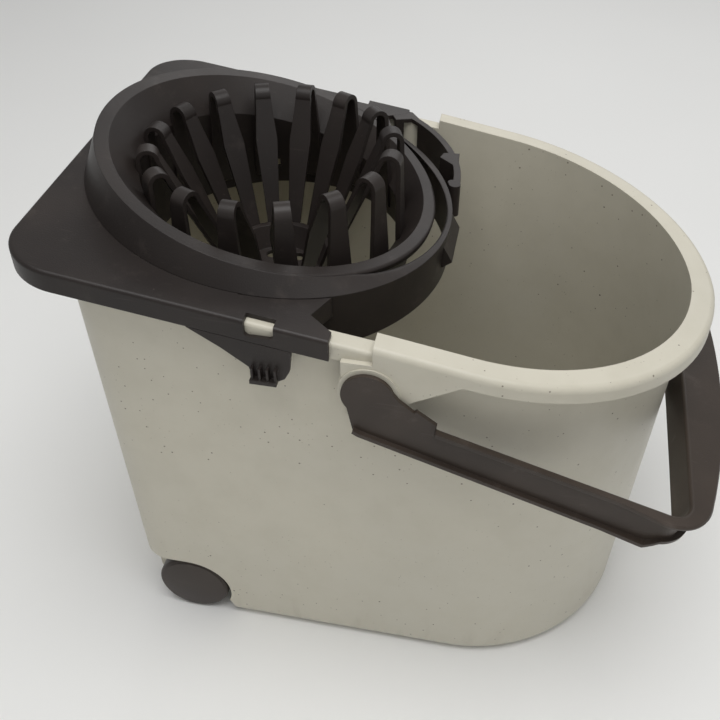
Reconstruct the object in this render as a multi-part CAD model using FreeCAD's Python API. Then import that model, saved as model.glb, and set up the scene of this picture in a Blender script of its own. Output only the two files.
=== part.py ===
"""Wheeled mop bucket with a lift-off wringer and a bail handle.

Millimetres. +X points to the pouring nose, +Z is up and the floor is z = 0.
The near side is -Y and the far side is +Y, and the object is the same on both
sides except for the stick holder, which is only on the far side.
"""
import FreeCAD
import Part
import math
import os

Vec = FreeCAD.Vector

# --- Driving dimensions -------------------------------------------------------
# Bucket
BASE_HALF = 121.0        # half width of the wall where it meets the floor
BASE_REAR = -172.0       # rear wall where it meets the floor
NOSE_CENTRE = 65.0       # where the straight sides turn into the round nose
DRAFT = 0.03             # every wall leans out by this much per mm of height
POINTED = 2.0            # how much the round nose is drawn out to a soft point
CORNER = 22.0            # rear corner radius at the floor
WALL = 2.6
FLOOR = 3.2
BASE_ROUND = 11.0
ARM_SHELF = 20.5         # height above the pivot of the ledge behind the rim's step
GUSSET_BACK = 16.0       # the handle's gusset on the skirt starts this far behind the pivot
GUSSET_FOOT = 19.0       # and ends this far below it
GUSSET_FRONT = 61.0      # x where it has risen to the skirt's own edge
BOSS_RING = 2.5          # how far the boss stands out all round the handle's lobe

# Rim: two sloping planes, a high one round the nose and a lower one below the deck
RIM_HALF = BASE_HALF + 21.5
RIM_LEVEL = 314.5        # height of the rim plane at x = 0
RIM_SLOPE = 0.18         # how much it falls per mm towards the nose
RIM_THICK = 3.2
RIM_SKIRT = 11.0
RIM_ROUND = 2.4          # thickness of the skirt below the rim
RIM_ROLL = 4.0           # rounding of the rim's outer edge
SEAT_ROLL = 2.5
SEAT_HALF = RIM_HALF - 3.6  # the low rim is narrower, so the deck's skirt goes over it
SEAT_STEP = 10.0         # x where the low rim steps up to the high one
SEAT_GAP = 0.3

# Extents of cutting volumes, larger than anything on the object
TALL = RIM_LEVEL + 65.5
WIDE = 200.0
LONG = 400.0
TOUCH = 0.01             # two heights or lengths closer than this are the same

# Handle
PIVOT_X = 7.8
PIVOT_Z = RIM_LEVEL - 34.8
HANDLE_TILT = 17.2       # degrees below level when it hangs at the nose
LOBE_RADIUS = 15.5
STUD_RADIUS = 6.0
STUD_FIT = 0.08
ARM_INNER = RIM_HALF + 1.4  # inner face of each arm
ARM_WEB = 2.6
ARM_DEPTH = 5.8          # arm's depth over its edge flanges
ARM_TOP = -5.6           # top face of the strap, measured from the pivot line
ARM_BOTTOM = -29.5
ARM_FLANGE = 2.6
GRIP_INNER = NOSE_CENTRE + BASE_HALF + 18.5  # from the pivot line to the inner face of the grip
GRIP_OUTER = GRIP_INNER + 30.0
GRIP_KNEE = GRIP_INNER - 18.5  # in front of this the strap is shallower, clear of the nose
GRIP_BOTTOM = -28.0
GRIP_CORNER = 14.0

# Wheels
WHEEL_X = BASE_REAR + 38.0
WHEEL_RADIUS = 27.5
WHEEL_Z = WHEEL_RADIUS
WHEEL_FACE = BASE_HALF - 0.5  # y of the wheel's outer face
WHEEL_WIDTH = 21.0
AXLE_RADIUS = 4.0
AXLE_FIT = 0.08
ARCH_GAP = 3.4
ARCH_DEPTH = 27.0
HUB_RADIUS = 9.0         # boss inside the arch that the axle is pressed into
HUB_GAP = 0.4
WHEEL_EDGE = 3.5         # tread thickness round the recesses in both faces
WHEEL_RECESS = 6.0       # depth of those recesses
CAP_RISE = 2.2           # how far the cap's dome rises at its middle
CAP_WALL = 1.8
AXLE_HEAD = 1.8

# Wringer
DECK_LEVEL = RIM_LEVEL - 3.7  # height of the deck plane at x = 0
DECK_SLOPE = 0.15
DECK_HALF = RIM_HALF - 0.5
DECK_REAR = BASE_REAR - 38.0
DECK_CORNER = 34.0
DECK_THICK = 3.0
DECK_SKIRT = 14.0
DECK_WALL = 2.6
DECK_ROLL = 2.4          # rounding of the deck's outer edge
ARM_END = -15.0          # front end of the two arms that lie on the rims
COLLAR_X = DECK_REAR + 126.2
COLLAR_TILT = 15.7       # degrees that the collar's rim falls towards the nose
COLLAR_LEVEL = DECK_LEVEL + 27.5  # height of the collar's rim above its own centre
COLLAR_RIM_OUTER = 112.4
COLLAR_RIM_INNER = COLLAR_RIM_OUTER - 7.4
COLLAR_DECK_RADIUS = COLLAR_RIM_OUTER + 8.1  # outer wall where it meets the deck plane
COLLAR_APRON_RADIUS = COLLAR_DECK_RADIUS - 2.5  # bottom of the outer wall where it hangs at the front
COLLAR_APRON_X = COLLAR_X + 13.8  # the outer wall hangs below the deck in front of this
COLLAR_THROAT = COLLAR_RIM_INNER - 17.0  # radius of the inner wall below the funnel
COLLAR_THROAT_LEVEL = COLLAR_LEVEL - 20.3  # where the funnel ends, above the collar's own centre
COLLAR_SLOTS = DECK_LEVEL - 25.8
COLLAR_FOOT = DECK_LEVEL - 38.8
COLLAR_WALL = 2.8
HOOK_WIDTH = 12.0
HOOK_ANGLES = (68, 112, 248, 292)            # the collar snaps under the deck here
SLOT_ANGLES = (62, 84, 106, 242, 264, 286)   # drain slots in the throat
LIP_HALF = 21.0
BEAD = 6.5
FINGERS = 16
FINGER_START = 132.5     # degrees, direction of the first finger
FINGER_RADIUS = COLLAR_THROAT - 9.3  # middle of each finger's rounded top
FINGER_LEVEL = DECK_LEVEL + 44.2
FINGER_BEND = 7.5        # outer radius of the rounded top
FINGER_THICK = 3.0
CUP_RADIUS = 38.0
CUP_TOP = DECK_LEVEL - 42.8
CUP_BOTTOM = CUP_TOP - 18.0
CUP_WALL = 3.0
CUP_TAPER = 8.0          # the cup is this much narrower at its bottom
CUP_HOLE = 4.6
CUP_HOLES = 6
CUP_HOLE_RING = 19.0
CLIP_GAP = 0.35
CLIP_BACK = -97.0        # the clip hangs from this part of the deck's skirt
CLIP_FRONT = -36.5
CLIP_TAB = DECK_LEVEL - 20.8  # level of the finger tab's top
CLIP_RIBS = 4
CLIP_PITCH = 4.6
HOLDER_X = COLLAR_X + 24.8  # centre of the stick holder's curved wall
HOLDER_Y = 52.0
HOLDER_RADIUS = 94.0
HOLDER_WALL = 5.0
HOLDER_HEIGHT = 24.0
HOLDER_POST = 4.6        # radius of the rounded post at its free end

# Half widths of a finger's inner and outer legs at different heights
FINGER_INNER = ((CUP_BOTTOM, 3.6), (FINGER_LEVEL - 65, 5.6), (FINGER_LEVEL - 33, 7.6),
                (FINGER_LEVEL - 15, 5.8), (FINGER_LEVEL + 1, 4.8))
FINGER_OUTER = ((COLLAR_FOOT, 8.0), (FINGER_LEVEL - 55, 8.4), (FINGER_LEVEL - 25, 6.2),
                (FINGER_LEVEL + 1, 4.8))

SIDES = (("near", -1), ("far", 1))


# --- Small helpers --------------------------------------------------------------
def face_of(points):
    return Part.Face(Part.makePolygon([*points, points[0]]))


def side_prism(profile, half=WIDE):
    """A profile given as (x, z) points, extruded to both sides along Y."""
    face = face_of([Vec(x, -half, z) for x, z in profile])
    return face.extrude(Vec(0, 2 * half, 0))


def band(x_from, x_to, top, bottom):
    """The slab between two heights that are functions of x."""
    xs = (x_from, x_to)
    return side_prism([(x, top(x)) for x in xs] + [(x, bottom(x)) for x in reversed(xs)])


def block(x0, x1, y0, y1, z0, z1):
    low = Vec(min(x0, x1), min(y0, y1), min(z0, z1))
    return Part.makeBox(abs(x1 - x0), abs(y1 - y0), abs(z1 - z0), low)


def pin(radius, y0, y1, x, z):
    """A round bar along Y."""
    return Part.makeCylinder(radius, abs(y1 - y0), Vec(x, min(y0, y1), z), Vec(0, 1, 0))


def fillet_where(shape, radius, wanted):
    return shape.makeFillet(radius, [edge for edge in shape.Edges if wanted(edge)])


def mirrored(shape, side):
    """The near-side shape, or its mirror image for the far side."""
    return shape if side < 0 else shape.mirror(Vec(0, 0, 0), Vec(0, 1, 0))


def rim(x):
    return RIM_LEVEL - RIM_SLOPE * x


def deck(x):
    return DECK_LEVEL - DECK_SLOPE * x


def seat(x):
    return deck(x) - DECK_THICK - SEAT_GAP


def on_plane(edge, height):
    """Whether an edge lies in a sloping plane, given as a function of x."""
    steps = 4
    first, last = edge.FirstParameter, edge.LastParameter
    points = [edge.valueAt(first + (last - first) * i / steps) for i in range(steps + 1)]
    return all(abs(point.z - height(point.x)) < TOUCH for point in points)


def across(edge):
    """Whether an edge runs straight along Y in the front half."""
    box = edge.BoundBox
    return box.XLength < TOUCH and box.XMin > COLLAR_X


def write(name, shape):
    shape.exportStep(os.path.join("parts", name + ".step"))


# --- Bucket ---------------------------------------------------------------------
def plan_wire(half, rear, corner, z):
    """Plan outline: flat rear, rounded rear corners, straight sides, round nose.

    The nose is two arcs that meet at a slight point. Each is centred a little
    past the middle line, so it leaves its side wall smoothly.
    """
    reach = half + POINTED
    tip = NOSE_CENTRE + math.sqrt(reach ** 2 - POINTED ** 2)
    halfway = math.acos(POINTED / reach) / 2 + math.pi / 2 - math.acos(POINTED / reach)
    mid = Vec(NOSE_CENTRE + reach * math.cos(halfway), reach * math.sin(halfway) - POINTED, z)
    bend = corner * (1 - math.sqrt(0.5))
    near = Vec(NOSE_CENTRE, -half, z)
    far = Vec(NOSE_CENTRE, half, z)
    nose = Vec(tip, 0, z)
    rear_far = Vec(rear + corner, half, z)
    far_rear = Vec(rear, half - corner, z)
    near_rear = Vec(rear, corner - half, z)
    rear_near = Vec(rear + corner, -half, z)
    return Part.Wire([
        Part.LineSegment(rear_near, near).toShape(),
        Part.Arc(near, Vec(mid.x, -mid.y, z), nose).toShape(),
        Part.Arc(nose, mid, far).toShape(),
        Part.LineSegment(far, rear_far).toShape(),
        Part.Arc(rear_far, Vec(rear + bend, half - bend, z), far_rear).toShape(),
        Part.LineSegment(far_rear, near_rear).toShape(),
        Part.Arc(near_rear, Vec(rear + bend, bend - half, z), rear_near).toShape(),
    ])


def body_volume(inset, bottom):
    """The drafted body, shrunk by inset, from the given height up to TALL."""
    wires = []
    for z in (bottom, TALL):
        grow = DRAFT * z - inset
        wires.append(plan_wire(BASE_HALF + grow, BASE_REAR - grow, CORNER + grow, z))
    return Part.makeLoft(wires, True, True)


def wall_half(z):
    return BASE_HALF + DRAFT * z


def round_base(volume, bottom, radius):
    """Rounds the edge all the way round the bottom of a volume."""
    return fillet_where(volume, radius, lambda edge: edge.BoundBox.ZMax < bottom + TOUCH)


def prism(half, rear, corner, z0, z1):
    return Part.Face(plan_wire(half, rear, corner, z0)).extrude(Vec(0, 0, z1 - z0))


def rim_volume(half, top_drop, skirt_drop):
    """The high rim and the low one together, as solid bands over their own outlines.

    Both bands start top_drop below their planes and hang down by skirt_drop. The
    high rim's band runs down and back as a gusset that carries the handle.
    """
    step_in = RIM_HALF - half
    rear = BASE_REAR - DRAFT * rim(0)
    corner = CORNER + DRAFT * rim(0)
    grow_high = half - wall_half(rim(0))
    grow_low = grow_high - (RIM_HALF - SEAT_HALF)
    far_x = RIM_HALF + NOSE_CENTRE + 20
    shelf = PIVOT_Z + ARM_SHELF - top_drop
    back = PIVOT_X - GUSSET_BACK + step_in
    gusset = PIVOT_Z - GUSSET_FOOT - skirt_drop + RIM_SKIRT
    high_profile = [
        (SEAT_STEP + step_in, rim(SEAT_STEP) - top_drop),
        (far_x, rim(far_x) - top_drop),
        (far_x, rim(far_x) - skirt_drop),
        (GUSSET_FRONT, rim(GUSSET_FRONT) - skirt_drop),
        (PIVOT_X + 27, gusset + 17),
        (PIVOT_X + 14, gusset + 7),
        (PIVOT_X - 4, gusset),
        (back, gusset),
        (back, shelf),
        (SEAT_STEP + step_in, shelf),
    ]
    high = prism(half, rear - grow_high, corner + grow_high, 0, TALL)
    low = prism(half - (RIM_HALF - SEAT_HALF), rear - grow_low, corner + grow_low, 0, TALL)
    far_back = DECK_REAR - 30
    low_band = band(far_back, SEAT_STEP + step_in + 1,
                    lambda x: seat(x) - top_drop, lambda x: seat(x) - skirt_drop)
    high = high.common(side_prism(high_profile))
    low = low.common(low_band)
    if top_drop == 0:
        high = fillet_where(high, RIM_ROLL, lambda edge: on_plane(edge, rim) and not across(edge))
        low = fillet_where(low, SEAT_ROLL, lambda edge: on_plane(edge, seat) and not across(edge))
    return high.fuse(low)


def arch_profile(margin):
    """Side view of the wheel arch, grown by margin: open at the floor and the rear."""
    reach = WHEEL_RADIUS + ARCH_GAP + margin
    top = WHEEL_Z + reach
    foot = WHEEL_X + reach + 5
    box = block(BASE_REAR - 30, WHEEL_X, -WIDE, WIDE, -10, top)
    lower = side_prism([(WHEEL_X, -10), (foot, -10), (foot, 0), (foot - 7, 16 + margin),
                        (WHEEL_X, 16 + margin)])
    return box.fuse([pin(reach, -WIDE, WIDE, WHEEL_X, WHEEL_Z), lower])


def arch(side, margin):
    """The pocket for one wheel. With a margin it is the housing round that pocket."""
    inner = BASE_HALF - ARCH_DEPTH - margin
    depth = block(-LONG, LONG, side * inner, side * WIDE, -20, 100)
    return arch_profile(margin).common(depth)


def bucket_shell():
    outer = round_base(body_volume(0, 0), 0, BASE_ROUND)
    inner = round_base(body_volume(WALL, FLOOR), FLOOR, BASE_ROUND - WALL)
    far_x = RIM_HALF + NOSE_CENTRE + 20
    far_back = DECK_REAR - 30
    under_rim = side_prism([(far_back, -20), (far_x, -20), (far_x, rim(far_x)),
                            (SEAT_STEP, rim(SEAT_STEP)), (SEAT_STEP, seat(SEAT_STEP)),
                            (far_back, seat(far_back))])
    outer = outer.common(under_rim)
    lip = rim_volume(RIM_HALF, 0, RIM_SKIRT)
    hollow = rim_volume(RIM_HALF - RIM_ROUND, RIM_THICK, RIM_SKIRT + 30)
    shell = outer.fuse(lip.cut(hollow))
    for _, side in SIDES:
        boss = pin(LOBE_RADIUS + BOSS_RING, side * (RIM_HALF - 6.0), side * (ARM_INNER - 0.4),
                   PIVOT_X, PIVOT_Z)
        shell = shell.fuse(boss)
    shell = shell.cut(inner)
    hub_start = BASE_HALF - ARCH_DEPTH - WALL
    hub_end = WHEEL_FACE - WHEEL_WIDTH - HUB_GAP
    for _, side in SIDES:
        shell = shell.fuse(arch(side, WALL).common(outer))
        shell = shell.cut(arch(side, 0))
        hub = pin(HUB_RADIUS, side * (hub_start - 6), side * hub_end, WHEEL_X, WHEEL_Z)
        bore = pin(AXLE_RADIUS + 0.02, side * (hub_start - 4.6), side * (hub_end + 1), WHEEL_X, WHEEL_Z)
        stud_hole = pin(STUD_RADIUS + STUD_FIT, side * (RIM_HALF - 8), side * WIDE, PIVOT_X, PIVOT_Z)
        shell = shell.fuse(hub).cut(bore).cut(stud_hole)
    return shell.removeSplitter()


# --- Wheels -----------------------------------------------------------------------
def wheel():
    """Near wheel with a recess for its cap and a bore that runs on the axle."""
    inner_face = WHEEL_FACE - WHEEL_WIDTH
    tread = WHEEL_RADIUS - WHEEL_EDGE
    tyre = pin(WHEEL_RADIUS, -WHEEL_FACE, -inner_face, WHEEL_X, WHEEL_Z)
    tyre = fillet_where(tyre, 2.5, lambda edge: edge.Length > 6 * WHEEL_RADIUS and edge.Closed)
    groove = pin(tread, -inner_face - WHEEL_RECESS, -inner_face + 1, WHEEL_X, WHEEL_Z)
    hub = pin(HUB_RADIUS - 0.5, -WHEEL_FACE, -inner_face + 2, WHEEL_X, WHEEL_Z)
    recess = pin(tread, -WHEEL_FACE - 1, -WHEEL_FACE + WHEEL_RECESS, WHEEL_X, WHEEL_Z)
    bore = pin(AXLE_RADIUS + AXLE_FIT, -WHEEL_FACE - 1, -inner_face + 1, WHEEL_X, WHEEL_Z)
    return tyre.cut(groove.cut(hub)).cut(recess).cut(bore)


def wheel_cap():
    """Domed cap: a thin lens with a skirt that presses into the wheel's recess."""
    radius = WHEEL_RADIUS - 2.0
    dome_radius = (radius ** 2 + CAP_RISE ** 2) / (2 * CAP_RISE)
    centre = Vec(WHEEL_X, -WHEEL_FACE - CAP_RISE + dome_radius - 0.3, WHEEL_Z)
    seam = -WHEEL_FACE - 0.02
    face = pin(radius, seam - 4, seam, WHEEL_X, WHEEL_Z)
    lens = face.common(Part.makeSphere(dome_radius, centre))
    skirt_radius = WHEEL_RADIUS - WHEEL_EDGE - 0.05
    skirt = pin(skirt_radius, seam, -WHEEL_FACE + 3.2, WHEEL_X, WHEEL_Z)
    skirt = skirt.cut(pin(skirt_radius - CAP_WALL, seam - 1, -WHEEL_FACE + 4, WHEEL_X, WHEEL_Z))
    return lens.fuse(skirt).removeSplitter()


def wheel_axle():
    """Axle pin with a flat head: pressed into the bucket, it holds the wheel on."""
    head_face = WHEEL_FACE - WHEEL_RECESS + 0.3
    tail = BASE_HALF - ARCH_DEPTH - WALL - 4.2
    shank = pin(AXLE_RADIUS, -head_face, -tail, WHEEL_X, WHEEL_Z)
    head = pin(AXLE_RADIUS + 3.5, -head_face - AXLE_HEAD, -head_face, WHEEL_X, WHEEL_Z)
    return shank.fuse(head).removeSplitter()


# --- Handle -----------------------------------------------------------------------
def bail_plan(side_y, corner_u, radius, front, straight_to=None):
    """Plan outline of the U: straight arms, round corners and a bowed front.

    The front bow meets both corner arcs smoothly: its radius follows from how far
    the front stands ahead of the corners. The arms may flare from straight_to on.
    """
    half = side_y - radius
    ahead = front - corner_u
    bow = (half ** 2 + ahead ** 2 - radius ** 2) / (2 * (ahead - radius))
    lean = math.asin(half / (bow - radius))
    meet = Vec(corner_u + radius * math.cos(lean), half + radius * math.sin(lean), 0)
    mid_angle = (lean + math.pi / 2) / 2
    mid = Vec(corner_u + radius * math.cos(mid_angle), half + radius * math.sin(mid_angle), 0)
    flip = [Vec(point.x, -point.y, 0) for point in (meet, mid)]
    start = -40.0
    side_start = side_y if straight_to is None else ARM_INNER + ARM_DEPTH
    far_line = [Vec(start, side_start, 0)]
    if straight_to is not None:
        far_line.append(Vec(straight_to, side_start, 0))
    far_line.append(Vec(corner_u, side_y, 0))
    near_line = [Vec(point.x, -point.y, 0) for point in reversed(far_line)]
    edges = [Part.LineSegment(a, b).toShape() for a, b in zip(far_line, far_line[1:])]
    edges.append(Part.Arc(far_line[-1], mid, meet).toShape())
    edges.append(Part.Arc(meet, Vec(front, 0, 0), flip[0]).toShape())
    edges.append(Part.Arc(flip[0], flip[1], near_line[0]).toShape())
    edges += [Part.LineSegment(a, b).toShape() for a, b in zip(near_line, near_line[1:])]
    edges.append(Part.LineSegment(near_line[-1], far_line[0]).toShape())
    return Part.Face(Part.Wire(edges))


def bail_frame_to_place(shape):
    """From the handle's own frame, arms level along +X, to where it hangs."""
    shape.rotate(Vec(0, 0, 0), Vec(0, 1, 0), HANDLE_TILT)
    shape.translate(Vec(PIVOT_X, 0, PIVOT_Z))
    return shape


def handle_bail():
    far = 260.0
    knee_low = ARM_BOTTOM - 4.5
    low_line = [(0, ARM_BOTTOM + 1), (4, ARM_BOTTOM), (GRIP_KNEE, knee_low),
                (GRIP_KNEE + 8, GRIP_BOTTOM), (far, GRIP_BOTTOM)]
    tooth = LOBE_RADIUS + 13.4
    strap_start = tooth + 15.0
    web_profile = [*low_line, (far, ARM_TOP),
                   (strap_start, ARM_TOP), (strap_start - 0.8, -2.2), (tooth, 2.8),
                   (tooth - 1.0, 1.0), (17.2, 5.6), (0, 0)]
    lower_back = [(-LOBE_RADIUS, 0), (0, ARM_BOTTOM + 1), (4, ARM_BOTTOM), (20, 0), (17.2, 5.6),
                  (LOBE_RADIUS * 0.35, LOBE_RADIUS * 0.93), (0, 0)]
    plate = side_prism(web_profile).fuse([side_prism(lower_back), pin(LOBE_RADIUS, -WIDE, WIDE, 0, 0)])
    extrude_up = Vec(0, 0, 100)

    def ring(outer, inner):
        shape = outer.cut(inner)
        shape.translate(Vec(0, 0, -60))
        return shape.extrude(extrude_up)

    inner_u = bail_plan(ARM_INNER, GRIP_INNER - GRIP_CORNER - 1, GRIP_CORNER, GRIP_INNER)
    web_u = bail_plan(ARM_INNER + ARM_WEB, GRIP_INNER - GRIP_CORNER - 1,
                      GRIP_CORNER + ARM_WEB, GRIP_INNER + ARM_WEB)
    wide_side = ARM_INNER + 9.5
    top_u = bail_plan(wide_side, GRIP_OUTER - 48, 33.0, GRIP_OUTER, 158.0)
    low_u = bail_plan(wide_side - 2.5, GRIP_OUTER - 51, 31.0, GRIP_OUTER - 4, 158.0)
    web = ring(web_u, inner_u).common(plate)
    top_slab = side_prism([(strap_start, ARM_TOP), (far, ARM_TOP), (far, ARM_TOP - ARM_FLANGE),
                         (strap_start, ARM_TOP - ARM_FLANGE)])
    low_slab = side_prism([*low_line, *[(u, w + ARM_FLANGE) for u, w in reversed(low_line)]])
    top = ring(top_u, inner_u).common(top_slab)
    low = ring(low_u, inner_u).common(low_slab)
    bail = web.fuse([top, low])
    ribs = 7
    pitch = 34.0
    for index in range(ribs):
        y = pitch * (index - (ribs - 1) / 2)
        rib = block(GRIP_INNER + 0.5, GRIP_OUTER - 12, y - 0.9, y + 0.9, GRIP_BOTTOM, ARM_TOP - 1)
        bail = bail.fuse(rib)
    bail = bail.removeSplitter()
    inner_rim = [edge for edge in bail.Edges
                 if on_plane(edge, lambda x: ARM_TOP) and edge.BoundBox.XMin > strap_start + 1
                 and edge.BoundBox.XMax < GRIP_INNER + 0.1
                 and edge.BoundBox.YMax < ARM_INNER + 0.1 and edge.BoundBox.YMin > -ARM_INNER - 0.1]
    bail = bail.makeFillet(ARM_FLANGE - 0.3, inner_rim)
    outer_rim = [edge for edge in bail.Edges
                 if on_plane(edge, lambda x: ARM_TOP) and edge.BoundBox.XMax > GRIP_OUTER - 20
                 and edge.BoundBox.XMin > GRIP_KNEE - 8]
    bail = bail.makeChamfer(1.2, outer_rim)
    return bail_frame_to_place(bail)


def handle_stud():
    """Near stud that the handle turns on, with a catch behind the bucket's gusset."""
    behind = RIM_HALF - 6.3
    stud = pin(STUD_RADIUS, -ARM_INNER, -behind, PIVOT_X, PIVOT_Z)
    catch = pin(STUD_RADIUS + 1.2, -behind, -behind + 2.6, PIVOT_X, PIVOT_Z)
    return stud.fuse(catch).removeSplitter()


# --- Wringer ------------------------------------------------------------------------
def deck_outline(inset):
    """Plan of the deck: a rounded rear, and two arms beside the collar."""
    half = DECK_HALF - inset
    rear = DECK_REAR + inset
    corner = DECK_CORNER - inset
    front = ARM_END - inset
    bend = corner * (1 - math.sqrt(0.5))
    arm_inner = DECK_HALF - 9.0 + inset
    root_x = ARM_END - 14 - inset
    root_y = DECK_HALF - 19 + inset
    inner_x = ARM_END - 5 - inset
    inner_y = 100.0
    far = [Vec(rear + corner, half, 0), Vec(front, half, 0), Vec(front, arm_inner, 0),
           Vec(root_x, root_y, 0), Vec(inner_x, inner_y, 0)]
    near = [Vec(point.x, -point.y, 0) for point in reversed(far)]
    line = [*far, *near]
    edges = [Part.LineSegment(a, b).toShape() for a, b in zip(line, line[1:])]
    near_side = Vec(rear, corner - half, 0)
    far_side = Vec(rear, half - corner, 0)
    edges.append(Part.Arc(near[-1], Vec(rear + bend, bend - half, 0), near_side).toShape())
    edges.append(Part.LineSegment(near_side, far_side).toShape())
    edges.append(Part.Arc(far_side, Vec(rear + bend, half - bend, 0), far[0]).toShape())
    return Part.Face(Part.Wire(edges))


def collar_hole():
    """Hole in the deck below the collar, a little wider where the outer wall passes it."""
    hole = Part.makeCylinder(COLLAR_DECK_RADIUS - 3.0, TALL, Vec(COLLAR_X, 0, 0))
    passing = Part.makeCylinder(COLLAR_DECK_RADIUS + 0.4, TALL, Vec(COLLAR_X, 0, 0))
    return hole.fuse(passing.common(block(COLLAR_APRON_X - 2, LONG, -WIDE, WIDE, 0, TALL)))


def on_outside(edge):
    """Whether an edge runs round the outside of the deck's top, arm ends left out."""
    box = edge.BoundBox
    beside = max(box.YMax, -box.YMin) > DECK_HALF - TOUCH and box.XMin < ARM_END - 20
    return on_plane(edge, deck) and (beside or box.XMax < DECK_REAR + TOUCH)


def wringer_deck():
    up = Vec(0, 0, TALL)
    full = band(DECK_REAR - 5, 30, deck, lambda x: deck(x) - DECK_SKIRT)
    hollow = band(DECK_REAR - 5, 30, lambda x: deck(x) - DECK_THICK, lambda x: deck(x) - 40)
    plate = deck_outline(0).extrude(up).common(full)
    plate = plate.cut(deck_outline(DECK_WALL).extrude(up).common(hollow))
    plate = fillet_where(plate, DECK_ROLL, on_outside)
    plate = plate.cut(collar_hole())
    below = band(DECK_REAR, 30, lambda x: deck(x) - DECK_THICK, lambda x: 0)
    for _, side in SIDES:
        rail = block(-60, 0, side * (SEAT_HALF - 16), side * (DECK_HALF - DECK_WALL), 0, TALL)
        plate = plate.cut(below.common(rail))
        window = block(-63.0, -46.0, side * (DECK_HALF - 8), side * (DECK_HALF + 5),
                       deck(-54) - 9.5, deck(-54) + 6)
        plate = plate.cut(fillet_where(window, 3.0, lambda edge: edge.BoundBox.YLength > 12))
    return plate.removeSplitter()


def tilted_ring(radius, level, tilt):
    """A circle round the collar's axis, in a plane that falls towards the nose."""
    normal = Vec(math.sin(math.radians(tilt)), 0, math.cos(math.radians(tilt)))
    circle = Part.Circle(Vec(COLLAR_X, 0, level), normal, radius)
    return Part.Wire([circle.toShape()])


def outer_wall_volume(inset):
    """Solid inside the collar's outer wall: from its rim, past the deck, to its apron."""
    deck_tilt = math.degrees(math.atan(DECK_SLOPE))
    over = 2 if inset else 0
    return Part.makeLoft([
        tilted_ring(COLLAR_RIM_OUTER - inset, COLLAR_LEVEL + over, COLLAR_TILT),
        tilted_ring(COLLAR_DECK_RADIUS - inset, deck(COLLAR_X), deck_tilt),
        tilted_ring(COLLAR_APRON_RADIUS - inset, COLLAR_FOOT + 2 - over, 0),
    ], True, True)


def inner_wall_volume(grow):
    """Solid inside the collar's inner wall: a funnel from the rim to a straight throat."""
    over = 0 if grow else 2
    return Part.makeLoft([
        tilted_ring(COLLAR_RIM_INNER + grow, COLLAR_LEVEL + over, COLLAR_TILT),
        tilted_ring(COLLAR_THROAT + grow, COLLAR_THROAT_LEVEL, COLLAR_TILT),
        tilted_ring(COLLAR_THROAT + grow, COLLAR_FOOT - over, 0),
    ], True, True)


def rim_disc(radius, thick, drop=0.0):
    tilt = math.radians(COLLAR_TILT)
    normal = Vec(math.sin(tilt), 0, math.cos(tilt))
    low = Vec(COLLAR_X, 0, COLLAR_LEVEL) - normal * (thick + drop)
    return Part.makeCylinder(radius, thick, low, normal)


def around_collar(shape, angle):
    """A piece drawn at radius along +X, turned to its direction round the collar."""
    shape.rotate(Vec(0, 0, 0), Vec(0, 0, 1), angle)
    shape.translate(Vec(COLLAR_X, 0, 0))
    return shape


def wringer_collar():
    behind = block(-LONG, COLLAR_APRON_X, -WIDE, WIDE, 0, TALL)
    below_deck = band(-LONG, LONG, deck, lambda x: 0)
    outer = outer_wall_volume(0).cut(outer_wall_volume(COLLAR_WALL))
    outer = outer.cut(below_deck.common(behind))
    inner = inner_wall_volume(COLLAR_WALL).cut(inner_wall_volume(0))
    bead = rim_disc(COLLAR_RIM_OUTER, BEAD).cut(rim_disc(COLLAR_RIM_INNER, BEAD + 2))
    bead = fillet_where(bead, 2.2, lambda edge: edge.Closed and edge.Length > 500)
    collar = outer.fuse([inner, bead])
    for angle in HOOK_ANGLES:
        x = COLLAR_X + COLLAR_DECK_RADIUS * math.cos(math.radians(angle))
        top = deck(x) - DECK_THICK - 1.0
        hook = block(COLLAR_THROAT + 1, COLLAR_DECK_RADIUS + 1.5,
                     -HOOK_WIDTH / 2, HOOK_WIDTH / 2, top - 4, top)
        collar = collar.fuse(around_collar(hook, angle))
    for angle in SLOT_ANGLES:
        slot = block(COLLAR_THROAT - 3, COLLAR_THROAT + 6, -4, 4,
                     COLLAR_SLOTS, COLLAR_SLOTS + 6)
        collar = collar.cut(around_collar(slot, angle))
    return collar.fuse(collar_lip()).removeSplitter()


def collar_lip():
    """A short lip on the front of the collar, over the bucket's open half."""
    reach = COLLAR_X + COLLAR_RIM_OUTER
    top = COLLAR_LEVEL - (reach - COLLAR_X) * math.tan(math.radians(COLLAR_TILT))
    profile = [(reach - 6, top + 1.2), (reach + 3, top - 2.4), (reach + 11, top - 17),
               (reach + 4.5, top - 22), (reach - 2, top - 20)]
    lip = side_prism(profile, LIP_HALF)
    return lip.cut(outer_wall_volume(1.0)).cut(rim_disc(COLLAR_RIM_INNER, 60))


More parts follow.
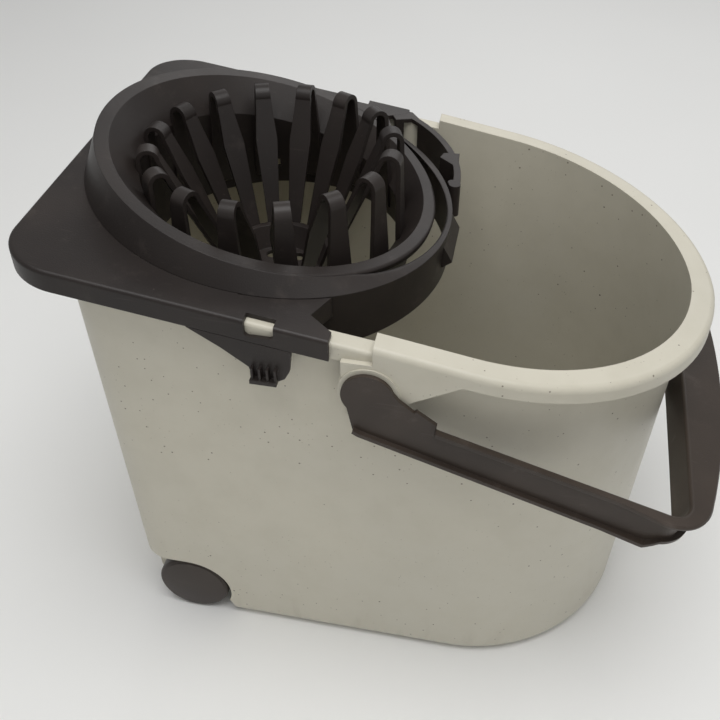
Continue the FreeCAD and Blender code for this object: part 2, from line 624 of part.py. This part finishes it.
def finger_profile():
    """Side view of one finger as (radius, height): a bent strap like an upside-down U."""
    top = FINGER_LEVEL - FINGER_BEND
    inner = FINGER_BEND - FINGER_THICK
    foot = COLLAR_THROAT + COLLAR_WALL / 2
    outside = FINGER_RADIUS + FINGER_BEND
    inside = FINGER_RADIUS - FINGER_BEND
    points = [(outside, top), (outside + 2, COLLAR_FOOT + 14), (foot, COLLAR_FOOT + 9),
              (foot, COLLAR_FOOT + 5), (outside - 1, COLLAR_FOOT + 9), (FINGER_RADIUS + inner, top)]
    legs = [Vec(r, 0, z) for r, z in points]
    cup_high = (CUP_RADIUS - 4, CUP_TOP - 8)
    cup_low = (CUP_RADIUS - 4, CUP_TOP - 13)
    back = [Vec(r, 0, z) for r, z in [(FINGER_RADIUS - inner, top), cup_low, cup_high, (inside, top)]]
    edges = [Part.LineSegment(a, b).toShape() for a, b in zip(legs, legs[1:])]
    edges.append(Part.Arc(legs[-1], Vec(FINGER_RADIUS, 0, top + inner), back[0]).toShape())
    edges += [Part.LineSegment(a, b).toShape() for a, b in zip(back, back[1:])]
    edges.append(Part.Arc(back[-1], Vec(FINGER_RADIUS, 0, FINGER_LEVEL), legs[0]).toShape())
    return Part.Face(Part.Wire(edges))


def finger_widths(stations, r_from, r_to):
    """A solid that gives a strap its width at each height."""
    right = [Vec(r_from, half, z) for z, half in stations]
    left = [Vec(r_from, -half, z) for z, half in reversed(stations)]
    return face_of(right + left).extrude(Vec(r_to - r_from, 0, 0))


def press_finger():
    strap = finger_profile()
    strap.translate(Vec(0, -15, 0))
    strap = strap.extrude(Vec(0, 30, 0))
    inside = strap.common(finger_widths(FINGER_INNER, 0, FINGER_RADIUS))
    outside = strap.common(finger_widths(FINGER_OUTER, FINGER_RADIUS, WIDE))
    return inside.fuse(outside).removeSplitter()


def cup_cone(inset):
    """Solid inside the basket's cup, down to its floor when inset by the wall."""
    low = CUP_RADIUS - CUP_TAPER - inset
    return Part.makeCone(low, CUP_RADIUS - inset, CUP_TOP - CUP_BOTTOM, Vec(0, 0, CUP_BOTTOM + inset))


def basket_cup():
    """Perforated cup that gathers the inner ends of the fingers."""
    hole = Part.makeCylinder(CUP_HOLE, CUP_TOP, Vec(0, 0, CUP_BOTTOM - 5))
    cup = cup_cone(0).cut(cup_cone(CUP_WALL)).cut(hole)
    for index in range(CUP_HOLES):
        turn = 2 * math.pi * index / CUP_HOLES
        cup = cup.cut(hole.translated(Vec(math.cos(turn), math.sin(turn), 0) * CUP_HOLE_RING))
    return cup


def at_collar(shape):
    shape.translate(Vec(COLLAR_X, 0, 0))
    return shape


def stick_holder(far_arm):
    """Curved hook on the far arm: the mop's stick stands between it and the collar."""
    centre = Vec(HOLDER_X, HOLDER_Y, 0)
    wall = Part.makeCylinder(HOLDER_RADIUS, TALL, centre)
    wall = wall.cut(Part.makeCylinder(HOLDER_RADIUS - HOLDER_WALL, TALL, centre))
    sector = [centre, Vec(140, HOLDER_Y, 0), Vec(140, 260, 0), Vec(42, 260, 0)]
    barb = [Vec(30, 92, 0), Vec(19, 88, 0), Vec(17, 81, 0), Vec(31, 72, 0)]
    strut = [Vec(-32, 137, 0), Vec(ARM_END + 3, 137, 0), Vec(-6, 130, 0), Vec(-22, 120, 0)]
    up = Vec(0, 0, TALL)
    post = Part.makeCylinder(HOLDER_POST, TALL, centre + Vec(HOLDER_RADIUS - HOLDER_WALL / 2 - 1.4, -2, 0))
    hook = wall.common(face_of(sector).extrude(up))
    hook = hook.fuse([post, face_of(barb).extrude(up), face_of(strut).extrude(up)])
    hook = hook.common(band(-60, 60, deck, lambda x: deck(x) - HOLDER_HEIGHT))
    rail = block(-60, 60, SEAT_HALF - 15.4, WIDE, 0, TALL)
    below_rim = band(-60, 60, lambda x: seat(x) + SEAT_GAP, lambda x: 0)
    keep_clear = Part.makeCylinder(COLLAR_DECK_RADIUS + 0.8, TALL, Vec(COLLAR_X, 0, 0))
    return hook.cut(below_rim.common(rail)).cut(far_arm).cut(keep_clear)


def rim_clip():
    """Near clip: an ear below the deck's skirt with a ribbed tab for the finger."""
    low = CLIP_TAB
    bottom = DECK_SKIRT + CLIP_GAP
    profile = [(CLIP_BACK, deck(CLIP_BACK) - bottom), (CLIP_BACK + 19, low + 9), (-62, low - 3),
               (-60, low - 12), (-53, low - 15), (-46, low - 12), (-41, low - 9), (-38, low - 3),
               (CLIP_FRONT, low + 10), (CLIP_FRONT, deck(CLIP_FRONT) - bottom)]
    ear = face_of([Vec(x, -DECK_HALF, z) for x, z in profile]).extrude(Vec(0, DECK_WALL, 0))
    ear = ear.fuse(block(-61, -45, -DECK_HALF - 4.5, -DECK_HALF + 1, low - 12, low - 9.4))
    for index in range(CLIP_RIBS):
        x = -60.2 + CLIP_PITCH * index
        ear = ear.fuse(block(x, x + 1.4, -DECK_HALF - 3.6, -DECK_HALF + 1, low - 10, low - 1))
    return ear.removeSplitter()


# --- Writing the parts -----------------------------------------------------------------
def main():
    os.makedirs("parts", exist_ok=True)
    write("bucket_shell", bucket_shell())
    write("handle_bail", handle_bail())
    for name, side in SIDES:
        write("handle_stud_" + name, mirrored(handle_stud(), side))
        write("wheel_" + name, mirrored(wheel(), side))
        write("wheel_cap_" + name, mirrored(wheel_cap(), side))
        write("wheel_axle_" + name, mirrored(wheel_axle(), side))
        write("rim_clip_" + name, mirrored(rim_clip(), side))
    deck_part = wringer_deck()
    write("wringer_deck", deck_part)
    collar = wringer_collar()
    write("wringer_collar", collar)
    write("basket_cup", at_collar(basket_cup()))
    finger = press_finger().cut(cup_cone(0))
    for index in range(FINGERS):
        turn = FINGER_START - 360.0 / FINGERS * index
        placed = finger.copy()
        placed.rotate(Vec(0, 0, 0), Vec(0, 0, 1), turn)
        pieces = at_collar(placed).cut(collar).Solids
        write("press_finger_%02d" % (index + 1), max(pieces, key=lambda piece: piece.Volume))
    write("stick_holder", stick_holder(deck_part))


main()
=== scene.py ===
# %% [markdown]
# # A wheeled mop bucket with a lift-off wringer
#
# The moulded parts come from the CAD model, already at their real size, so this
# lesson is mostly about finishes. It shows how to give plain plastic the small
# things that make it look real: specks, grain, faint mould flow and handling marks.
# Loading the frame first keeps every later step in the same place and scale.

import bpy
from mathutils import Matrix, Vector

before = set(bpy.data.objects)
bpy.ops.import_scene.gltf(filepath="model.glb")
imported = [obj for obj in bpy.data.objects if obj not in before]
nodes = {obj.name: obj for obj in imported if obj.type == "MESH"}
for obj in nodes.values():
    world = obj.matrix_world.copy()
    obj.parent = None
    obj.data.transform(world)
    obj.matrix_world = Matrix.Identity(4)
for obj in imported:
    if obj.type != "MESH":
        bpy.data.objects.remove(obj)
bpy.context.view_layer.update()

# %% [markdown]
# ## Numbers that a shader can work out
#
# A material is a graph of nodes, and its sums are Math nodes. Wiring those by hand is
# slow to read, so one small class stands for a number in the graph. Writing `a * b`
# then adds the Math node. Colours are left to Mix nodes, because a Math node would
# turn them grey.


# %% A shader number
class Number:
    """A number that varies over a surface. Python's operators add Math nodes."""

    def __init__(self, finish, socket):
        self.finish = finish
        self.socket = socket

    def sum(self, operation, first, second):
        node = self.finish.add("ShaderNodeMath", {"operation": operation}, {0: first, 1: second})
        return Number(self.finish, node.outputs[0])

    def __add__(self, other):
        return self.sum("ADD", self, other)

    def __sub__(self, other):
        return self.sum("SUBTRACT", self, other)

    def __mul__(self, other):
        return self.sum("MULTIPLY", self, other)

    def __rsub__(self, other):
        return self.sum("SUBTRACT", other, self)

    __radd__ = __add__
    __rmul__ = __mul__

    def less_than(self, limit):
        return self.sum("LESS_THAN", self, limit)


# %% [markdown]
# ## A finish
#
# Every plastic here is one Principled shader with a few textures in front of it. The
# textures read Object coordinates, which are metres on these parts, so a scale of 100
# makes features about a centimetre across. That keeps a grain the same size on a big
# wall and on a small clip. Moulded edges are never knife sharp, and a Bevel node bends
# the light round them without adding any faces.


# %% A material with its helpers
# A Mix node has several sockets of one name, so its colour sockets go by number.
MIX_FACTOR, MIX_FIRST, MIX_SECOND, MIX_RESULT = 0, 6, 7, 2
BEVEL_SAMPLES = 4


class Finish:
    """A material being built: one method adds any node, the others are textures."""

    def __init__(self, name):
        self.material = bpy.data.materials.new(name)
        self.material.use_nodes = True
        self.tree = self.material.node_tree
        self.shader = self.tree.nodes["Principled BSDF"]
        self.place = self.add("ShaderNodeTexCoord").outputs["Object"]

    def add(self, kind, settings=None, sockets=None):
        node = self.tree.nodes.new(kind)
        for name, value in (settings or {}).items():
            setattr(node, name, value)
        for name, value in (sockets or {}).items():
            self.feed(node.inputs[name], value)
        return node

    def feed(self, socket, value):
        value = getattr(value, "socket", value)
        if isinstance(value, bpy.types.NodeSocket):
            self.tree.links.new(value, socket)
        else:
            socket.default_value = value

    def noise(self, scale, detail=3.0, rough=0.5, stretch=None):
        place = self.place
        if stretch:
            place = self.add("ShaderNodeMapping", sockets={"Vector": place, "Scale": stretch})
            place = place.outputs["Vector"]
        node = self.add("ShaderNodeTexNoise", sockets={
            "Vector": place, "Scale": scale, "Detail": detail, "Roughness": rough})
        return Number(self, node.outputs[0])

    def stepped(self, value, low, high):
        """0 below low, 1 above high and a smooth rise between them."""
        node = self.add("ShaderNodeMapRange", {"interpolation_type": "SMOOTHSTEP"}, {
            "Value": value, "From Min": low, "From Max": high})
        return Number(self, node.outputs["Result"])

    def specks(self, scale, radius, share):
        """Round specks, in this share of random cells. The radius is in cell widths."""
        cells = self.add("ShaderNodeTexVoronoi", sockets={"Vector": self.place, "Scale": scale})
        split = self.add("ShaderNodeSeparateColor", sockets={"Color": cells.outputs["Color"]})
        chosen = Number(self, split.outputs["Red"]).less_than(share)
        size = Number(self, split.outputs["Green"]) * radius + radius * 0.35
        inside = self.stepped(size - Number(self, cells.outputs["Distance"]), 0.0, radius * 0.3)
        return inside * chosen

    def mixed(self, factor, first, second):
        node = self.add("ShaderNodeMix", {"data_type": "RGBA"}, {
            MIX_FACTOR: factor, MIX_FIRST: first, MIX_SECOND: second})
        return node.outputs[MIX_RESULT]

    def bump(self, height, depth, under=None):
        """A relief whose full height is depth, in metres."""
        sockets = {"Height": height, "Distance": depth, "Strength": 1.0}
        if under:
            sockets["Normal"] = under
        return self.add("ShaderNodeBump", sockets=sockets).outputs["Normal"]

    def soft_edges(self, radius):
        """A normal that rounds each sharp edge by this radius, in metres."""
        node = self.add("ShaderNodeBevel", {"samples": BEVEL_SAMPLES}, {"Radius": radius})
        return node.outputs["Normal"]

    def dress(self, **sockets):
        """Feeds the shader and hands over the finished material."""
        for name, value in sockets.items():
            self.feed(self.shader.inputs[name.replace("_", " ")], value)
        print("finish", self.material.name, "with", len(self.tree.nodes), "nodes")
        return self.material


def colour(red, green, blue):
    """A paint-box colour, 0 to 255 as on screen, in the shader's own linear scale."""
    return tuple(((part / 255 + 0.055) / 1.055) ** 2.4 for part in (red, green, blue)) + (1.0,)


# %% [markdown]
# ## Speckled cream plastic
#
# The bucket is moulded from cream plastic with ground dark flakes in it, so the specks
# lie under the surface and are tiny and of mixed size. Three grids of random cells
# give three sizes of speck. The wall is never one even colour either: slow noise shifts
# it between a warm and a cool cream, and a band of scuffs collects near the floor.


# %% The bucket's finish
# Each kind of speck has its cells in a metre, its radius in cells and its share of cells.
FINE_SPECKS = (260.0, 0.11, 0.5)
SMALL_SPECKS = (150.0, 0.085, 0.9)
LARGE_SPECKS = (75.0, 0.05, 0.5)
# The rest are in metres.
SCUFF_FULL, SCUFF_END = 0.004, 0.05
CREAM_EDGE, CREAM_FLOW, CREAM_GRAIN = 0.0008, 0.00012, 0.00006


def cream_plastic():
    finish = Finish("speckled_cream")
    warm = colour(202, 197, 181)
    cool = colour(195, 191, 177)
    drift = finish.stepped(finish.noise(5.0, detail=2.0), 0.3, 0.7)
    base = finish.mixed(drift, warm, cool)
    cloud = finish.stepped(finish.noise(38.0, detail=5.0, rough=0.6), 0.35, 0.75) * 0.35
    base = finish.mixed(cloud, base, colour(187, 182, 165))
    small = finish.specks(*SMALL_SPECKS)
    large = finish.specks(*LARGE_SPECKS)
    fine = finish.specks(*FINE_SPECKS) * 0.4
    base = finish.mixed(fine, base, colour(150, 140, 122))
    base = finish.mixed(small * 0.8, base, colour(96, 84, 72))
    base = finish.mixed(large * 0.9, base, colour(72, 62, 54))
    height = Number(finish, finish.add("ShaderNodeSeparateXYZ", sockets={
        "Vector": finish.place}).outputs["Z"])
    low_down = 1.0 - finish.stepped(height, SCUFF_FULL, SCUFF_END)
    streaks = finish.stepped(finish.noise(90.0, detail=4.0, stretch=(1.0, 1.0, 0.25)), 0.5, 0.72)
    base = finish.mixed(low_down * streaks * 0.18, base, colour(150, 143, 128))
    grain = finish.noise(1400.0, detail=2.0)
    flow = finish.noise(24.0, detail=2.0, stretch=(1.0, 1.0, 0.35))
    relief = finish.bump(flow, CREAM_FLOW, under=finish.soft_edges(CREAM_EDGE))
    relief = finish.bump(grain, CREAM_GRAIN, under=relief)
    rough = 0.36 + finish.noise(60.0, detail=4.0) * 0.12 + streaks * 0.05
    return finish.dress(Base_Color=base, Roughness=rough, Normal=relief)


cream = cream_plastic()

# %% [markdown]
# ## Anthracite and brown plastics
#
# The wringer and the handle are dark satin mouldings. Dark plastic shows its texture
# through its highlights, so roughness and bump do more work than colour: a fine spark
# grain from the mould, slow ripples where the plastic flowed, and thin rubbed patches.
# One function makes both, since they differ only in tint, gloss and how rubbed they are.


# %% Dark satin plastics
SATIN_EDGE, SATIN_RIPPLE, SATIN_GRAIN = 0.0007, 0.0002, 0.00008     # metres
SATIN_SPECULAR = 0.34     # under the usual 0.5, for a dull surface


def satin_plastic(name, dark, light, roughness, rubbed):
    finish = Finish(name)
    finish.shader.inputs["Specular IOR Level"].default_value = SATIN_SPECULAR
    drift = finish.stepped(finish.noise(14.0, detail=3.0), 0.3, 0.72)
    base = finish.mixed(drift, dark, light)
    rub = finish.stepped(finish.noise(55.0, detail=6.0, rough=0.65), 0.56, 0.74)
    dust = finish.specks(180.0, 0.07, 0.08) * 0.35
    pale = colour(118, 108, 102)
    base = finish.mixed(rub * rubbed, base, pale)
    base = finish.mixed(dust, base, pale)
    scratch = finish.stepped(finish.noise(420.0, detail=2.0, stretch=(0.06, 1.0, 1.0)), 0.66, 0.74)
    base = finish.mixed(scratch * rubbed * 0.6, base, pale)
    ripple = finish.noise(18.0, detail=2.0)
    relief = finish.bump(ripple, SATIN_RIPPLE, under=finish.soft_edges(SATIN_EDGE))
    relief = finish.bump(finish.noise(1100.0, detail=2.0), SATIN_GRAIN, under=relief)
    rough = roughness - rub * 0.07 + finish.noise(32.0, detail=3.0) * 0.12
    return finish.dress(Base_Color=base, Roughness=rough, Normal=relief)


anthracite = satin_plastic("anthracite", colour(37, 32, 30), colour(47, 41, 38),
                           roughness=0.36, rubbed=0.08)
brown = satin_plastic("dark_brown", colour(56, 48, 42), colour(67, 58, 51),
                      roughness=0.36, rubbed=0.14)
wheel_brown = satin_plastic("wheel_brown", colour(55, 48, 44), colour(64, 56, 51),
                            roughness=0.34, rubbed=0.18)

# %% [markdown]
# ## Steel pins
#
# The axle pins are drawn steel. Drawing leaves fine lines along the pin, which is the
# Y axis here, so a noise stretched along Y makes both the tone and the roughness streak.


# %% Drawn steel
STEEL_LINE = 0.00004     # metres


def drawn_steel():
    finish = Finish("drawn_steel")
    finish.shader.inputs["Metallic"].default_value = 1.0
    lines = finish.noise(600.0, detail=3.0, stretch=(1.0, 0.04, 1.0))
    base = finish.mixed(lines, colour(150, 150, 148), colour(196, 196, 192))
    return finish.dress(Base_Color=base, Roughness=0.22 + lines * 0.2,
                        Normal=finish.bump(lines, STEEL_LINE))


steel = drawn_steel()

# %% [markdown]
# ## Dressing the parts
#
# Each CAD part has one material slot, so giving it a finish is a matter of putting the
# right material in that slot. A table by name beginning keeps the fingers and the two
# sides alike. Smooth shading is left as the CAD export set it.

# %% Put a finish on every part
FINISH_BY_START = (
    ("bucket_shell", cream),
    ("handle", brown),
    ("wheel_axle", steel),
    ("wheel", wheel_brown),
    ("", anthracite),
)


def finish_for(name):
    return next(finish for start, finish in FINISH_BY_START if name.startswith(start))


for name, part in sorted(nodes.items()):
    part.data.materials.clear()
    part.data.materials.append(finish_for(name))
print("dressed", len(nodes), "parts")

# %% [markdown]
# ## Floor and light
#
# A soft studio look needs large lights. The main one is a wide panel above the bucket.
# A second panel on the far side draws soft highlights along the dark collar, a weak
# third one lifts the near wall, and the white world fills the shadows.


# %% Studio
FLOOR_REACH = 6.0
FLOOR_LEVEL = -0.0004     # just below the bucket, so that no two faces share a plane
WORLD_STRENGTH = 0.34


def pale_floor():
    mesh = bpy.data.meshes.new("floor")
    corners = [(-FLOOR_REACH, -FLOOR_REACH), (FLOOR_REACH, -FLOOR_REACH),
               (FLOOR_REACH, FLOOR_REACH), (-FLOOR_REACH, FLOOR_REACH)]
    mesh.from_pydata([(x, y, FLOOR_LEVEL) for x, y in corners], [], [(0, 1, 2, 3)])
    floor = bpy.data.objects.new("floor", mesh)
    bpy.context.scene.collection.objects.link(floor)
    finish = Finish("floor_paper")
    tone = finish.noise(3.0, detail=2.0)
    paper = finish.mixed(tone, colour(238, 238, 236), colour(243, 243, 241))
    mesh.materials.append(finish.dress(Base_Color=paper, Roughness=0.85))


def panel_light(name, place, aim, width, height, power):
    light = bpy.data.lights.new(name, "AREA")
    light.shape = "RECTANGLE"
    light.size = width
    light.size_y = height
    light.energy = power
    lamp = bpy.data.objects.new(name, light)
    lamp.location = place
    lamp.rotation_euler = (Vector(aim) - Vector(place)).to_track_quat("-Z", "Y").to_euler()
    bpy.context.scene.collection.objects.link(lamp)
    print("light", name, power, "W")


pale_floor()
panel_light("overhead", (0.1, -0.3, 1.7), (0.0, 0.0, 0.2), width=1.3, height=1.0, power=17.0)
panel_light("far_side", (0.2, 1.5, 1.1), (0.0, 0.0, 0.25), width=1.6, height=0.8, power=5.0)
panel_light("near_side", (0.9, -1.4, 0.9), (0.0, 0.0, 0.2), width=1.2, height=1.0, power=2.0)

scene = bpy.context.scene
scene.world = scene.world or bpy.data.worlds.new("studio")
scene.world.use_nodes = True
background = scene.world.node_tree.nodes["Background"]
background.inputs["Color"].default_value = (1.0, 1.0, 1.0, 1.0)
background.inputs["Strength"].default_value = WORLD_STRENGTH
scene.view_settings.view_transform = "Standard"

# %% [markdown]
# ## Camera
#
# The view is from above the near side, about 0.7 m away. That is close enough to make
# the wringer look larger than the base. The distance alone sets this perspective, and
# the lens only sets how much of the picture the bucket fills.

# %% Camera
CAMERA_PLACE = Vector((0.0795, -0.5225, 0.6447))
CAMERA_AIM = Vector((-0.02555, 0.0, 0.17605))
LENS, SENSOR_WIDTH = 46.93, 36.0     # millimetres
NEAREST_SEEN = 0.01

camera = bpy.data.objects.new("camera", bpy.data.cameras.new("camera"))
scene.collection.objects.link(camera)
camera.location = CAMERA_PLACE
camera.rotation_euler = (CAMERA_AIM - CAMERA_PLACE).to_track_quat("-Z", "Y").to_euler()
camera.data.lens = LENS
camera.data.sensor_width = SENSOR_WIDTH
camera.data.clip_start = NEAREST_SEEN
scene.camera = camera
print("camera is", round((CAMERA_AIM - CAMERA_PLACE).length, 3), "m from its aim")
